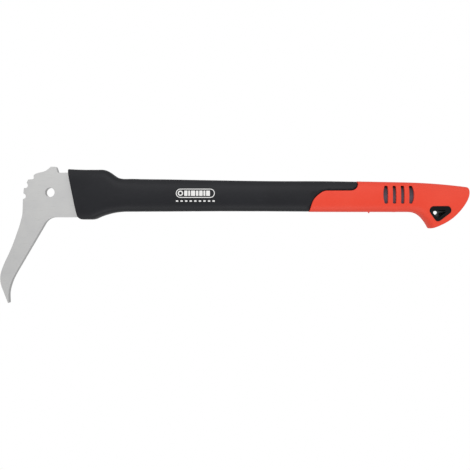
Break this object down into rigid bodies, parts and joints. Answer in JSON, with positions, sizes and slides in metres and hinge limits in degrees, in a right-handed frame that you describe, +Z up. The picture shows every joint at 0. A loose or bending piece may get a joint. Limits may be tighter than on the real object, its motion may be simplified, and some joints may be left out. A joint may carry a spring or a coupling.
{
  "type": "hand sappie",
  "caption": "Hand log hook: flat steel plate head with a long curved spike and bites, moulded socket handle, and a soft flared grip with slots and a lanyard eye.",
  "frame": {"origin": "under the centre of the tool's bounding box, on the surface that it lies on", "axes": "+X along the handle from the steel head to the butt, +Y across the handle from the spike's point to the striking nub, +Z up through the tool's thickness as it lies on its side"},
  "size_m": [0.5004, 0.1457, 0.028],
  "materials": {
    "plate_steel": "fine blasted, clear coated, light satin grey",
    "rivet_steel": "zinc plated",
    "fibreglass": "pultruded, translucent straw colour",
    "epoxy": "cast",
    "black_nylon": "fine spark-eroded moulding texture",
    "red_elastomer": "soft satin overmould",
    "eyelet_nylon": "polished moulding"
  },
  "bodies": {
    "root": {"hook_head": "plate_steel", "core_rod": "fibreglass", "tang_bond": "epoxy", "tang_rivets": "rivet_steel", "rivet_washers": "rivet_steel", "handle_jacket": "black_nylon", "grip_sleeve": "red_elastomer", "lanyard_eyelet": "eyelet_nylon"}
  },
  "joints": []
}
